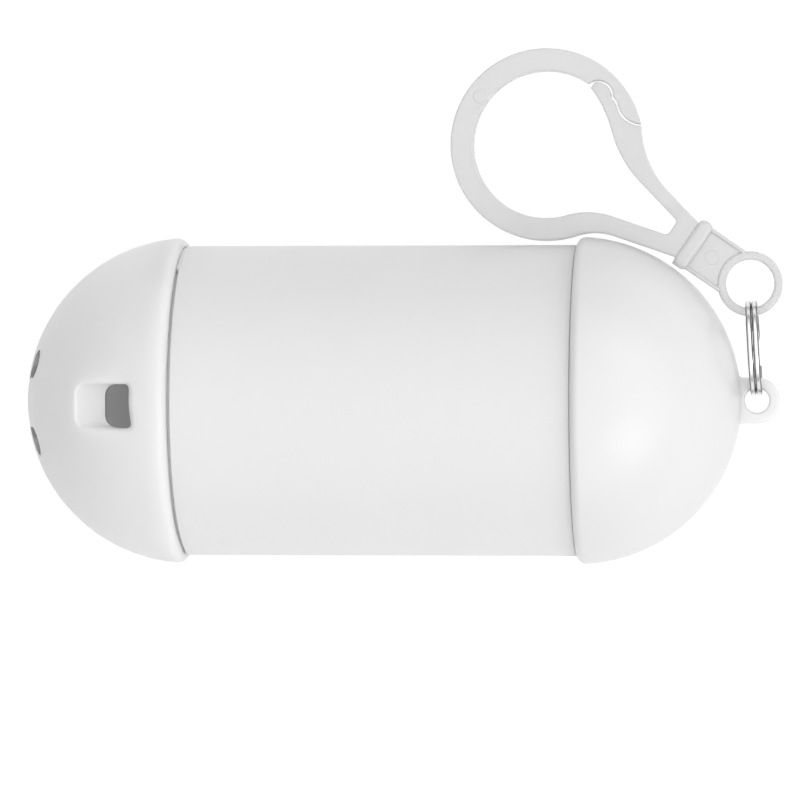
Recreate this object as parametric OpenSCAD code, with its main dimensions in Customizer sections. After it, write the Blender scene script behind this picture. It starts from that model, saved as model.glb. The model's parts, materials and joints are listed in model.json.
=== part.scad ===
// Capsule dispenser for rolls of waste bags, with a split ring and a snap clip.
// The capsule lies along X, the clip lies beside it at the height of the capsule's axis,
// and Z points up. The origin is under the middle of the whole part, on the surface it lies on.

/* [Bag roll] */
// Diameter of a full roll of bags
roll_d = 30; // [26:0.5:31]
// Length of the roll
roll_len = 58; // [45:1:70]
// Diameter of the hole through the paper core
core_bore_d = 11; // [9.5:0.5:13]
// Wall of the paper core
core_wall = 0.8; // [0.5:0.1:1.2]
// Length by which the core stands out of the film at each end
core_stick_out = 0.5; // [0:0.1:1]

/* [Tube] */
// Radial room between the roll and the bore
bore_play = 2; // [1:0.1:3]
// Wall of the tube between its two shoulders
tube_wall = 2; // [1.8:0.1:2.6]
// Wall of the thinner neck and spigot at the ends of the tube
neck_wall = 1.2; // [0.9:0.1:1.3]
// Length of the neck and of the spigot
neck_len = 4.5; // [3.6:0.1:5]
// Gap between the roll's rim and the dome at each end
end_play = 2.55; // [1:0.05:4]

/* [Caps] */
// How far the caps stand proud of the tube
cap_step = 1; // [0.8:0.1:1.5]
// Wall of the domes
cap_wall = 1.6; // [1.3:0.1:1.9]
// Straight stretch between a cap's rim and its dome
rim_len = 0.4; // [0.2:0.1:1]
// Rounding of the outer corner of the rims
lip_round = 1.1; // [0.6:0.1:1.2]
// Open seam between the slot cap's rim and the shoulder
seam_gap = 0.4; // [0.3:0.05:0.6]
// Clearance of the caps round the neck and the spigot
neck_fit = 0.08; // [0.05:0.01:0.1]

/* [Bayonet] */
// Number of lugs round the neck
lug_count = 2; // [2:1:3]
// Height of a lug above the neck
lug_h = 0.55; // [0.4:0.05:0.6]
// Length of a lug along the axis
lug_w = 1.2; // [0.8:0.1:1.4]
// Angle that a lug spans round the neck
lug_arc = 24; // [16:1:30]
// Distance from the shoulder to the lugs
lug_inset = 1.6; // [1.4:0.1:2]
// Turn from the entry slots to the locked end of the tracks
lock_turn = 30; // [20:1:40]
// Clearance round a lug in its track
track_fit = 0.1; // [0.08:0.01:0.2]
// Angle that a seat rib spans round the shoulder
seat_arc = 40; // [20:1:60]
// Direction of the end of the first seat rib
seat_end = 32; // [20:1:40]

/* [Mouth] */
// Number of lobes of the mouth at the pole
mouth_lobes = 4; // [3:1:5]
// Distance from the axis to the round end of a lobe
mouth_reach = 7.3; // [6:0.1:8]
// Diameter of the round end of a lobe
mouth_lobe_d = 3.8; // [3:0.1:4.2]
// Width of the slits that join the lobes
mouth_slit_w = 1.6; // [1:0.1:2.4]
// Diameter of the hole in the middle of the mouth
mouth_centre_d = 3.4; // [2.6:0.1:4.4]

/* [Tear slot] */
// Width of the scoop in the slot cap
scoop_w = 5.3; // [4:0.1:7]
// Distance along the axis from the pole to the start of the scoop
scoop_start = 7.6; // [7:0.1:8.5]
// Distance along the axis from the pole to the opening in the scoop
slot_start = 10.9; // [10:0.1:12]
// Distance along the axis from the pole to the cutting edge
slot_end = 14.5; // [13:0.1:15]
// Rounding of the far corners of the opening
slot_round = 0.9; // [0.5:0.1:1.5]
// How far the cutting edge bulges into the slot
edge_bulge = 0.35; // [0.1:0.05:0.6]
// Thickness of the floor under the scoop
pocket_wall = 1.2; // [0.8:0.1:1.6]
// Turn of the scoop and the mouth about the axis
cap_turn = -2.2; // [-5:0.1:5]

/* [Eyelet] */
// Diameter of the hole in the eyelet
eyelet_hole_d = 3; // [2.6:0.1:4]
// Width of the band round that hole
eyelet_band = 1.3; // [1:0.1:2]
// Thickness of the eyelet
eyelet_t = 2; // [1.4:0.1:2.4]
// Distance from the pole of the dome to the hole
eyelet_reach = 1.95; // [1.7:0.05:3]
// Rounding where the eyelet grows out of the dome
eyelet_fillet = 0.5; // [0.3:0.1:0.9]

/* [Split ring] */
// Outer diameter of the split ring
ring_d = 11.6; // [11:0.1:14]
// Width of the flattened wire across a turn
wire_w = 0.7; // [0.6:0.05:1]
// Thickness of one turn of the wire
wire_t = 0.68; // [0.5:0.02:0.8]
// Gap between the two turns
turn_gap = 0.06; // [0.04:0.01:0.12]
// Angle over which the wire crosses from one turn to the other
cross_arc = 40; // [30:1:60]
// Slack of the ring in the eyelet and in the clip's eye
ring_fit = 0.2; // [0.18:0.01:0.4]
// Direction of the ring, counted from the capsule's axis
ring_lean = 93.4; // [80:0.1:100]

/* [Clip] */
// Thickness of the loop and the arms
clip_t = 2.6; // [2:0.1:3.4]
// Size of the bevel along the edges of the clip
clip_bevel = 0.4; // [0.2:0.05:0.6]
// Thickness of the eye and the web
eye_t = 2; // [1.4:0.1:2.4]
// Diameter of the hole in the eye
eye_hole_d = 5.9; // [5:0.1:6.6]
// Width of the band round the eye
eye_band = 1; // [0.8:0.1:1.4]
// Width of the web between the eye and the collar
web_w = 6; // [4.6:0.1:6.2]
// Distance from the eye to the collar
collar_reach = 8.4; // [7.6:0.1:9.6]
// Length of the collar across the clip
collar_len = 6.6; // [6:0.1:7]
// Width of the collar
collar_w = 1.7; // [1.2:0.1:2.2]
// Thickness of the collar
collar_t = 3.4; // [2.8:0.1:4.2]
// Distance from the eye to the middle of the loop
clip_len = 30.1; // [28:0.1:33]
// Inner diameter of the loop
loop_hole_d = 18; // [16:0.5:20]
// Width of the band of the loop
loop_band = 2.75; // [2.2:0.05:3.2]
// Width of the fixed arm
arm_w = 2.2; // [1.6:0.05:2.4]
// Angle between the fixed arm and the line of the clip
arm_spread = 15.5; // [13:0.5:18]
// Distance from the line of the clip to the middle of the fixed arm at the collar
arm_root = 1.05; // [0.9:0.05:1.3]
// Radius of the bend from the fixed arm into the loop
bend_r = 7; // [5:0.5:9]
// Distance from the eye to the throat between the arms
throat_reach = 11.6; // [10.6:0.1:12]
// Gap between the loop and the case, as the clip lies beside it
clip_rest = 0.3; // [0.2:0.05:1]

/* [Gate] */
// Distance from the eye to the flexing root of the gate
gate_root = 13; // [12:0.1:14]
// Distance from the line of the clip to that root
gate_root_out = 2.45; // [2.2:0.05:2.6]
// Width of the gate at its root
gate_root_w = 1.7; // [1.3:0.1:1.8]
// Angle between the gate's root and the line of the clip
gate_spread = 12; // [10:1:15]
// Distance along the gate from its root to its outer bend
gate_straight = 1.8; // [1.6:0.1:3]
// Radius of the outer bend of the gate
gate_bend_r = 12.1; // [11:0.1:13]
// Distance along the gate from its root to its inner bend
bow_start = 5; // [4:0.1:6]
// Radius of the inner bend of the gate
bow_r = 14.2; // [13:0.1:16]
// Angle of that bend
bow_turn = 29; // [26:1:30]
// Radius of the hollow between that bend and the tip
cove_r = 15; // [13:0.5:18]
// Distance from the middle of the nose to the blunt tip of the gate
tip_reach = 1.2; // [1:0.1:1.4]
// Gap between the gate and the hook
gate_gap = 0.25; // [0.2:0.01:0.35]
// Radius of the gate's nose
nose_r = 1.9; // [1.6:0.1:2.1]
// Distance from the middle of the loop to the middle of the nose
nose_reach = 8.6; // [8.4:0.1:8.8]
// Direction of the nose, seen from the middle of the loop
nose_turn = -102; // [-104:1:-98]
// Radius of the round that ends the hook
hook_end_r = 2.95; // [2.7:0.05:3.1]
// Distance from the middle of the loop to the middle of that round
hook_end_reach = 12.8; // [12.6:0.1:13]
// Direction of that round, seen from the middle of the loop
hook_end_turn = -120.5; // [-122:0.5:-119]
// Inner radius of the thinned end of the hook, from the middle of the loop
hook_thin_r = 10; // [9.8:0.05:10.3]

/* [Hidden] */

tiny = 0.01;
over = 1;
round_fn = 96;
shell_white = [0.94, 0.94, 0.94];
film_white = [0.86, 0.87, 0.87];
paper_tan = [0.76, 0.67, 0.54];
steel_grey = [0.72, 0.73, 0.75];
clip_white = [0.88, 0.89, 0.9];

// radii of the case, from the roll outwards
roll_r = roll_d / 2;
bore_r = roll_r + bore_play;
neck_r = bore_r + neck_wall;
tube_r = bore_r + tube_wall;
cap_r = tube_r + cap_step;
dome_r = cap_r - cap_wall;
socket_r = neck_r + neck_fit;
lug_r = neck_r + lug_h;

// the entry slots are a little wider than the lugs, in degrees on each side
entry_slack = 1;

// the roll lies on the floor of the bore
lay_gap = 0.3;
roll_drop = bore_r - roll_r - lay_gap;
core_r = core_bore_d / 2 + core_wall;

// lengths along the capsule, counted from the middle of the tube
dome_depth = sqrt(pow(dome_r, 2) - pow(bore_r - lay_gap, 2));
seat_gap = 0.05;
tube_half = roll_len / 2 + end_play - dome_depth - rim_len - (seam_gap + seat_gap) / 2;
cap_len = rim_len + cap_r;
slot_rim_x = -tube_half - seam_gap;
loop_rim_x = tube_half + seat_gap;
slot_pole_x = slot_rim_x - cap_len;
loop_pole_x = loop_rim_x + cap_len;
roll_x = (slot_pole_x + loop_pole_x) / 2;
socket_len = neck_len + seam_gap;
lip_mid_r = sqrt(pow(cap_r, 2) - pow(lip_round - rim_len, 2)) - lip_round;

// split ring and clip, counted from the hole of the eyelet
eyelet_hole_r = eyelet_hole_d / 2;
eyelet_r = eyelet_hole_r + eyelet_band;
eyelet_x = loop_pole_x + eyelet_reach;
ring_r = ring_d / 2;
ring_mid_r = ring_r - wire_w / 2;
ring_inner_r = ring_r - wire_w;
ring_offset = eyelet_hole_r - ring_fit + ring_inner_r;
eye_hole_r = eye_hole_d / 2;
eye_r = eye_hole_r + eye_band;
eye_offset = ring_offset + ring_inner_r - ring_fit + eye_hole_r;
eye_x = eyelet_x + eye_offset * cos(ring_lean);
eye_y = eye_offset * sin(ring_lean);
loop_r = loop_hole_d / 2 + loop_band;

// the clip leans over until its loop would meet the rim of the loop cap or the tube
lip_from_eye = [loop_rim_x + lip_round - eye_x, lip_mid_r - eye_y];
lip_far = norm(lip_from_eye);
rest_r = loop_r + clip_rest;
lip_share = (pow(lip_far, 2) + pow(clip_len, 2) - pow(rest_r + lip_round, 2)) / (2 * lip_far * clip_len);
lip_lean = atan2(lip_from_eye[1], lip_from_eye[0]) - acos(lip_share);
tube_lean = 180 - asin((tube_r + rest_r - eye_y) / clip_len);
clip_lean = min(lip_lean, tube_lean);
loop_x = eye_x + clip_len * cos(clip_lean);
loop_y = eye_y + clip_len * sin(clip_lean);

// the box round the whole part, for the origin
box_x_min = slot_pole_x;
box_x_max = max(eyelet_x + eyelet_r, eye_x + eye_r);
box_y_min = -cap_r;
box_y_max = loop_y + loop_r;
origin_shift = [-(box_x_min + box_x_max) / 2, -(box_y_min + box_y_max) / 2, cap_r];

// outline of the clip in its own plane: the eye at the origin, the loop along +X,
// the fixed arm on the +Y side and the gate on the -Y side
arm_dir = [cos(arm_spread), sin(arm_spread)];
arm_out = [-sin(arm_spread), cos(arm_spread)];
arm_start = [collar_reach, arm_root];
loop_mid = [clip_len, 0];
// middle of the circle that touches both a line along the arm and a circle round the loop
function bend_mid(side, ring_radius, radius) =
    let (from = arm_start + arm_out * (side + radius) - loop_mid)
    let (along = from * arm_dir)
    let (root = sqrt(pow(along, 2) - from * from + pow(ring_radius + radius, 2)))
    loop_mid + from - arm_dir * (along + root);
outer_bend = bend_mid(arm_w / 2, loop_r, bend_r);
inner_bend_r = bend_r + arm_w;
inner_bend = bend_mid(-arm_w / 2, loop_hole_d / 2, inner_bend_r);
bend_turn = atan2(outer_bend[1], outer_bend[0] - clip_len);
nose_mid = loop_mid + nose_reach * [cos(nose_turn), sin(nose_turn)];
hook_end_mid = loop_mid + hook_end_reach * [cos(hook_end_turn), sin(hook_end_turn)];
gate_dir = [cos(gate_spread), -sin(gate_spread)];
gate_in = [sin(gate_spread), cos(gate_spread)];
gate_pivot = [gate_root, -gate_root_out];
root_fit = 0.05;
gate_bend = gate_pivot + gate_dir * gate_straight - gate_in * (gate_root_w / 2 + gate_bend_r);
bow_mid = gate_pivot + gate_dir * bow_start + gate_in * (gate_root_w / 2 - bow_r);
bow_end = gate_spread + bow_turn;
cove_mid = bow_mid + (bow_r + cove_r) * [sin(bow_end), cos(bow_end)];

// small turns, seen from the middle of the loop: the hook past the nose, the start of its thin end
// and the outer corner of the gate past it
nose_past = 7;
thin_before = 4;
corner_past = 13;
nose_end_turn = nose_turn - nose_past;
hook_thin_turn = hook_end_turn + thin_before;
corner_turn = hook_end_turn - corner_past;

module placed() {
    translate(origin_shift)
        children();
}

// stands a shape that is turned about Z along the capsule: its X becomes Y and its Y becomes Z
module along_capsule(x = 0) {
    translate([x, 0, 0])
        rotate([90, 0, 90])
            children();
}

// one wall of a ring: a sector of a square section turned about Z
module arc_band(inner, outer, low, high, start, sweep) {
    rotate([0, 0, start])
        rotate_extrude(angle = sweep, $fn = round_fn)
            translate([inner, low])
                square([outer - inner, high - low]);
}

// ---- case -------------------------------------------------------------------------------

module lug_ring(clearance, sweep) {
    for (i = [0:lug_count - 1])
        arc_band(
            neck_r - tiny, lug_r + clearance,
            lug_inset - clearance, lug_inset + lug_w + clearance,
            i * 360 / lug_count - lug_arc / 2 - clearance, sweep
        );
}

module seat_ribs() {
    for (i = [0:lug_count - 1])
        arc_band(
            neck_r - tiny, tube_r - seat_gap * 2, -tiny, seam_gap - seat_gap,
            seat_end - seat_arc + i * 360 / lug_count, seat_arc
        );
}

module tube() {
    color(shell_white)
        placed()
            difference() {
                union() {
                    along_capsule(-tube_half)
                        cylinder(h = 2 * tube_half, r = tube_r, $fn = round_fn);
                    along_capsule(-tube_half - neck_len)
                        cylinder(h = 2 * (tube_half + neck_len), r = neck_r, $fn = round_fn);
                    mirror([1, 0, 0])
                        along_capsule(tube_half) {
                            lug_ring(0, lug_arc);
                            seat_ribs();
                        }
                }
                along_capsule(-tube_half - neck_len - over)
                    cylinder(h = 2 * (tube_half + neck_len + over), r = bore_r, $fn = round_fn);
            }
}

// section of a domed cap: the rim at Y = 0, the pole at Y = cap_len
module cap_section() {
    difference() {
        union() {
            intersection() {
                translate([0, rim_len])
                    circle(r = cap_r, $fn = round_fn);
                translate([0, lip_round])
                    square([cap_r, cap_len]);
            }
            square([lip_mid_r, lip_round + tiny]);
            translate([lip_mid_r, lip_round])
                circle(r = lip_round, $fn = round_fn);
        }
        intersection() {
            translate([0, rim_len])
                circle(r = dome_r, $fn = round_fn);
            translate([0, rim_len])
                square([cap_r, cap_len]);
        }
        translate([0, -over])
            square([socket_r, socket_len + over]);
        translate([-cap_r, -over])
            square([cap_r, cap_len + 2 * over]);
    }
}

module cap_shell() {
    rotate_extrude($fn = round_fn)
        cap_section();
}

module eyelet_outline(grow = 0) {
    translate([eyelet_x, 0])
        circle(r = eyelet_r + grow, $fn = round_fn);
    translate([loop_pole_x - cap_wall / 2, -eyelet_r - grow])
        square([eyelet_reach + cap_wall / 2, 2 * (eyelet_r + grow)]);
}

// two small coves where the sides of the eyelet run into the dome
module eyelet_coves() {
    dome_x = loop_pole_x - cap_r + sqrt(pow(cap_r, 2) - pow(eyelet_r + eyelet_fillet, 2));
    for (side = [-1, 1])
        difference() {
            translate([dome_x - cap_wall / 2, side * (eyelet_r - tiny)])
                mirror([0, side < 0 ? 1 : 0])
                    square([cap_wall / 2 + eyelet_fillet, eyelet_fillet]);
            translate([dome_x + eyelet_fillet, side * (eyelet_r + eyelet_fillet)])
                circle(r = eyelet_fillet, $fn = round_fn);
        }
}

module loop_cap() {
    color(shell_white)
        placed()
            difference() {
                union() {
                    along_capsule(loop_rim_x)
                        cap_shell();
                    translate([0, 0, -eyelet_t / 2])
                        linear_extrude(height = eyelet_t) {
                            eyelet_outline();
                            eyelet_coves();
                        }
                }
                translate([eyelet_x, 0, -eyelet_t])
                    cylinder(h = 2 * eyelet_t, r = eyelet_hole_r, $fn = round_fn);
            }
}

module mouth_outline() {
    circle(d = mouth_centre_d, $fn = round_fn);
    for (i = [0:mouth_lobes - 1])
        rotate([0, 0, 90 + (i + 0.5) * 360 / mouth_lobes]) {
            translate([0, -mouth_slit_w / 2])
                square([mouth_reach, mouth_slit_w]);
            translate([mouth_reach, 0])
                circle(d = mouth_lobe_d, $fn = round_fn);
        }
}

// scoop seen from above, X across the cap and Y from the rim to the pole: it runs out into the
// dome at its far end and has a bulging cutting edge at its near end
module scoop_outline() {
    near_y = cap_len - slot_end;
    half_w = scoop_w / 2;
    bulge_r = (pow(half_w, 2) + pow(edge_bulge, 2)) / (2 * edge_bulge);
    difference() {
        translate([-half_w, near_y])
            square([scoop_w, slot_end - scoop_start + over]);
        translate([0, near_y + edge_bulge - bulge_r])
            circle(r = bulge_r, $fn = 2 * round_fn);
    }
}

// floor of the scoop seen from above, up to the round corners of the opening
module pocket_outline() {
    start_y = cap_len - slot_start;
    half_w = scoop_w / 2;
    difference() {
        translate([-half_w - pocket_wall, start_y - slot_round])
            square([scoop_w + 2 * pocket_wall, slot_start - scoop_start + slot_round + pocket_wall]);
        translate([-half_w + slot_round, start_y - 2 * slot_round])
            square([scoop_w - 2 * slot_round, 2 * slot_round]);
        for (side = [-1, 1])
            translate([side * (half_w - slot_round), start_y - slot_round])
                circle(r = slot_round, $fn = round_fn);
    }
}

// the straight pull of the mould from the front of the cap, down to a flat floor
module front_pull(low, high) {
    rotate([90, 0, 0])
        mirror([0, 0, 1])
            translate([0, 0, low])
                linear_extrude(height = high - low)
                    children();
}

module slot_cap() {
    floor_y = sqrt(pow(cap_r, 2) - pow(cap_r - scoop_start, 2));
    color(shell_white)
        placed()
            mirror([1, 0, 0])
                along_capsule(-slot_rim_x)
                    difference() {
                        union() {
                            cap_shell();
                            rotate([0, 0, cap_turn])
                                intersection() {
                                    front_pull(floor_y - pocket_wall, cap_r)
                                        pocket_outline();
                                    translate([0, 0, rim_len])
                                        sphere(r = cap_r - cap_wall / 2, $fn = round_fn);
                                }
                        }
                        rotate([0, 0, cap_turn]) {
                            front_pull(floor_y, cap_r + over)
                                scoop_outline();
                            translate([0, 0, cap_len / 2])
                                linear_extrude(height = cap_len)
                                    mouth_outline();
                        }
                        translate([0, 0, -seam_gap])
                            lug_ring(track_fit, lug_arc + lock_turn);
                        for (i = [0:lug_count - 1])
                            arc_band(
                                neck_r - tiny, lug_r + 2 * track_fit, -over, lug_inset,
                                i * 360 / lug_count - lug_arc / 2 - entry_slack, lug_arc + 2 * entry_slack
                            );
                    }
}

// ---- roll of bags -----------------------------------------------------------------------

module roll_place(length) {
    placed()
        translate([roll_x - length / 2, 0, -roll_drop])
            rotate([0, 90, 0])
                children();
}

module bag_roll() {
    color(film_white)
        roll_place(roll_len)
            difference() {
                cylinder(h = roll_len, r = roll_r, $fn = round_fn);
                translate([0, 0, -over])
                    cylinder(h = roll_len + 2 * over, r = core_r, $fn = round_fn);
            }
}

module roll_core() {
    core_len = roll_len + 2 * core_stick_out;
    color(paper_tan)
        roll_place(core_len)
            difference() {
                cylinder(h = core_len, r = core_r, $fn = round_fn);
                translate([0, 0, -over])
                    cylinder(h = core_len + 2 * over, d = core_bore_d, $fn = round_fn);
            }
}

// ---- split ring -------------------------------------------------------------------------

// Height of the wire at a given angle along its two turns: flat, then a smooth crossing, then flat.
turn_pitch = wire_t + turn_gap;
function wire_height(turn) =
    let (share = min(1, max(0, (turn - 360 + cross_arc / 2) / cross_arc)))
    turn_pitch * (share * share * (3 - 2 * share) - 0.5);
wire_end_gap = 4;
wire_trim = cross_arc / 2 + wire_end_gap;
wire_steps = 90;
wire_round = 0.2;
wire_section = [
    for (corner = [[1, 1], [-1, 1], [-1, -1], [1, -1]])
        for (cut = (corner[0] * corner[1] > 0) ? [[1, 0], [0, 1]] : [[0, 1], [1, 0]])
            [
                corner[0] * (wire_w / 2 - cut[1] * wire_round),
                corner[1] * (wire_t / 2 - cut[0] * wire_round)
            ]
];

module split_ring() {
    sides = len(wire_section);
    turns = [for (i = [0:wire_steps]) wire_trim + i * (720 - 2 * wire_trim) / wire_steps];
    points = [
        for (turn = turns)
            for (corner = wire_section)
                [
                    (ring_mid_r + corner[0]) * cos(turn),
                    (ring_mid_r + corner[0]) * sin(turn),
                    wire_height(turn) + corner[1]
                ]
    ];
    skin = [
        for (i = [0:wire_steps - 1])
            for (j = [0:sides - 1])
                let (k = (j + 1) % sides)
                [i * sides + j, i * sides + k, (i + 1) * sides + k, (i + 1) * sides + j]
    ];
    first_end = [for (j = [sides - 1:-1:0]) j];
    last_end = [for (j = [0:sides - 1]) wire_steps * sides + j];
    color(steel_grey)
        placed()
            translate([eyelet_x, 0, 0])
                rotate([0, 0, ring_lean])
                    translate([ring_offset, 0, 0])
                        rotate([90, 90, 0])
                            polyhedron(points = points, faces = concat(skin, [first_end, last_end]));
}

// ---- clip -------------------------------------------------------------------------------

module clip_place() {
    placed()
        translate([eye_x, eye_y, 0])
            rotate([0, 0, clip_lean])
                children();
}

// a flat moulding with its top and bottom edges cut back: a full core between two thinner skins
module bevelled(thickness, bevel) {
    translate([0, 0, -thickness / 2 + bevel])
        linear_extrude(height = thickness - 2 * bevel)
            children(0);
    translate([0, 0, -thickness / 2])
        linear_extrude(height = thickness)
            children(1);
}

// fixed arm: a straight stretch from the collar and a bend that laps over it and over the loop
module arm_outline(inset = 0) {
    half_w = arm_w / 2 - inset;
    wedge = inner_bend_r + bend_r + arm_w + loop_band;
    inner_len = (inner_bend - arm_start) * arm_dir;
    outer_len = (outer_bend - arm_start) * arm_dir;
    lap_start = arm_start + arm_dir * (outer_len - arm_w);
    lap_turn = bend_turn - atan(loop_band / loop_r);
    difference() {
        union() {
            translate(arm_start)
                rotate([0, 0, arm_spread])
                    translate([-collar_w / 2, -half_w])
                        square([inner_len + collar_w / 2, 2 * half_w]);
            intersection() {
                translate(inner_bend)
                    circle(r = inner_bend_r - inset, $fn = round_fn);
                polygon([
                    lap_start + arm_out * half_w,
                    arm_start + arm_dir * outer_len + arm_out * half_w,
                    outer_bend,
                    loop_mid + loop_r * [cos(bend_turn), sin(bend_turn)],
                    loop_mid + (loop_hole_d / 2 - clip_bevel) * [cos(lap_turn), sin(lap_turn)],
                    inner_bend - (arm_out - arm_dir) * wedge,
                    lap_start - arm_out * wedge
                ]);
            }
        }
        translate(outer_bend)
            circle(r = bend_r + inset, $fn = round_fn);
        translate(loop_mid)
            circle(d = loop_hole_d + 2 * inset, $fn = round_fn);
    }
}

// sector between two directions, as seen from the middle of the loop
module loop_sector(from, to) {
    reach = 2 * loop_r;
    steps = 8;
    translate(loop_mid)
        polygon(concat(
            [[0, 0]],
            [for (i = [0:steps]) let (turn = from + i * (to - from) / steps) reach * [cos(turn), sin(turn)]]
        ));
}

// thinned end of the hook with its round tip, grown by the gap where it is cut out of the gate
module hook_end_outline(grow = 0) {
    intersection() {
        union() {
            translate(hook_end_mid)
                circle(r = hook_end_r + grow, $fn = round_fn);
            difference() {
                loop_sector(hook_thin_turn, nose_turn);
                translate(loop_mid)
                    circle(r = hook_thin_r - grow, $fn = round_fn);
            }
        }
        translate(loop_mid)
            circle(r = loop_r + grow, $fn = round_fn);
    }
}

// hook: the round loop from the fixed arm to its end, hollowed for the gate's nose
module hook_outline(inset = 0) {
    difference() {
        union() {
            difference() {
                loop_sector(nose_end_turn, bend_turn);
                translate(loop_mid)
                    circle(d = loop_hole_d + 2 * inset, $fn = round_fn);
            }
            hook_end_outline(-inset);
        }
        translate(nose_mid)
            circle(r = nose_r + inset, $fn = round_fn);
        difference() {
            translate(loop_mid)
                circle(r = 3 * loop_r);
            translate(loop_mid)
                circle(r = loop_r - inset, $fn = round_fn);
        }
    }
}

// stub of the gate's arm on the collar, with the round hollow that the gate's root flexes in
module gate_stub(inset = 0) {
    half_w = gate_root_w / 2 - inset;
    stub_len = (gate_root - collar_reach) / cos(gate_spread);
    difference() {
        translate(gate_pivot)
            rotate([0, 0, -gate_spread])
                translate([-stub_len, -half_w])
                    square([stub_len - half_w / 2, 2 * half_w]);
        translate(gate_pivot)
            circle(r = gate_root_w / 2 + root_fit, $fn = round_fn);
    }
}

module web_outline(inset = 0) {
    circle(r = eye_r - inset, $fn = round_fn);
    translate([0, -web_w / 2 + inset])
        square([collar_reach, web_w - 2 * inset]);
}

module neck_outline(inset = 0) {
    neck_half = arm_root + arm_w / 2 - inset;
    translate([collar_reach, -neck_half])
        square([throat_reach - collar_reach - inset, 2 * neck_half]);
}

module clip_hook() {
    color(clip_white)
        clip_place()
            difference() {
                union() {
                    bevelled(clip_t, clip_bevel) {
                        union() {
                            hook_outline();
                            arm_outline();
                            gate_stub();
                            neck_outline();
                        }
                        union() {
                            hook_outline(clip_bevel);
                            arm_outline(clip_bevel);
                            gate_stub(clip_bevel);
                            neck_outline(clip_bevel);
                        }
                    }
                    bevelled(eye_t, clip_bevel / 2) {
                        web_outline();
                        web_outline(clip_bevel / 2);
                    }
                    translate([collar_reach - collar_w / 2, -collar_len / 2, -collar_t / 2])
                        cube([collar_w, collar_len, collar_t]);
                }
                translate([0, 0, -eye_t])
                    cylinder(h = 2 * eye_t, r = eye_hole_r, $fn = round_fn);
            }
}

// gate: a root that flexes, an arm that widens towards the hook, and a nose that rests in it
module gate_outline(inset = 0) {
    half_w = gate_root_w / 2 - inset;
    outer_corner = loop_mid + (loop_r - inset) * [cos(corner_turn), sin(corner_turn)];
    tip_x = nose_mid[0] + tip_reach - inset;
    translate(gate_pivot)
        circle(r = half_w, $fn = round_fn);
    translate(gate_pivot)
        rotate([0, 0, -gate_spread])
            translate([0, -half_w])
                square([gate_straight + inset, 2 * half_w]);
    difference() {
        intersection() {
            union() {
                translate(bow_mid)
                    circle(r = bow_r - inset, $fn = 2 * round_fn);
                translate(gate_pivot)
                    rotate([0, 0, -gate_spread])
                        square([bow_start, half_w]);
                translate(bow_mid + (bow_r - inset) * [sin(bow_end), cos(bow_end)])
                    mirror([0, 1])
                        square(2 * bow_r);
            }
            polygon([
                gate_pivot + gate_dir * gate_straight + gate_in * half_w,
                gate_pivot + gate_dir * bow_start + gate_in * half_w,
                [tip_x, gate_pivot[1]],
                [tip_x, nose_mid[1] - nose_r],
                loop_mid + loop_r * [cos(hook_thin_turn), sin(hook_thin_turn)],
                outer_corner,
                gate_pivot + gate_dir * gate_straight - gate_in * half_w
            ]);
        }
        translate(gate_bend)
            circle(r = gate_bend_r + inset, $fn = 2 * round_fn);
        translate(cove_mid)
            circle(r = cove_r + inset, $fn = 2 * round_fn);
        hook_outline(-gate_gap - inset);
    }
}

module clip_gate() {
    color(clip_white)
        clip_place()
            bevelled(clip_t, clip_bevel) {
                gate_outline();
                gate_outline(clip_bevel);
            }
}

tube();
loop_cap();
slot_cap();
bag_roll();
roll_core();
split_ring();
clip_hook();
clip_gate();
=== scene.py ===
import json
from math import asin, atan2, cos, degrees, pi, radians, sin, sqrt, tan

import bmesh
import bpy
from mathutils import Matrix, Vector


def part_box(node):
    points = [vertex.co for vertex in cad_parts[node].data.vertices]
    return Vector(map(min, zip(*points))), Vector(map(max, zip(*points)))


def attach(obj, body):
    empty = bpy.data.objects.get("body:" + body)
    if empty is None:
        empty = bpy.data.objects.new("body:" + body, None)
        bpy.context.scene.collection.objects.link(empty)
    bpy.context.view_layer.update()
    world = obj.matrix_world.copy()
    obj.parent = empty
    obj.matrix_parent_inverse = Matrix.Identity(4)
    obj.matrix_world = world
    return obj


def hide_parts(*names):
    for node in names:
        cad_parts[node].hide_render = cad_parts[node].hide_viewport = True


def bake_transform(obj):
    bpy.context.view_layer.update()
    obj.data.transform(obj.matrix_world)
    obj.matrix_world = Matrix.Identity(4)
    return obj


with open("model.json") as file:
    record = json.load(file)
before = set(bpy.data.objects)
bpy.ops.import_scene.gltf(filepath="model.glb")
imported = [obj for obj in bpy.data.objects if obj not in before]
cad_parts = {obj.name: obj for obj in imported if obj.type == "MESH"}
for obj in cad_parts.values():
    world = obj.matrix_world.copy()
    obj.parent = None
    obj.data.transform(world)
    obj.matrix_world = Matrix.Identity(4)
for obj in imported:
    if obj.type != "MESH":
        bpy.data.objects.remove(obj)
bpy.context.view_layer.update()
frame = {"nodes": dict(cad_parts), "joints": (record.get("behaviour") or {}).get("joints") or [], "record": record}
scene = bpy.context.scene
scene.view_settings.view_transform = "Standard"


def math_node(nodes, operation, value=None):
    """A sum on one or two values. The value given is the second one."""
    node = nodes.new("ShaderNodeMath")
    node.operation = operation
    if value is not None:
        node.inputs[1].default_value = value
    return node


def range_node(nodes, to_min, to_max, from_min=0.0, from_max=1.0):
    """Moves values from one range to another."""
    node = nodes.new("ShaderNodeMapRange")
    node.inputs["From Min"].default_value = from_min
    node.inputs["From Max"].default_value = from_max
    node.inputs["To Min"].default_value = to_min
    node.inputs["To Max"].default_value = to_max
    return node


def new_material(name):
    """A new material, with its nodes, its links and its surface."""
    material = bpy.data.materials.new(name)
    material.use_nodes = True
    nodes, links = material.node_tree.nodes, material.node_tree.links
    return material, nodes, links, nodes["Principled BSDF"]


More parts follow.
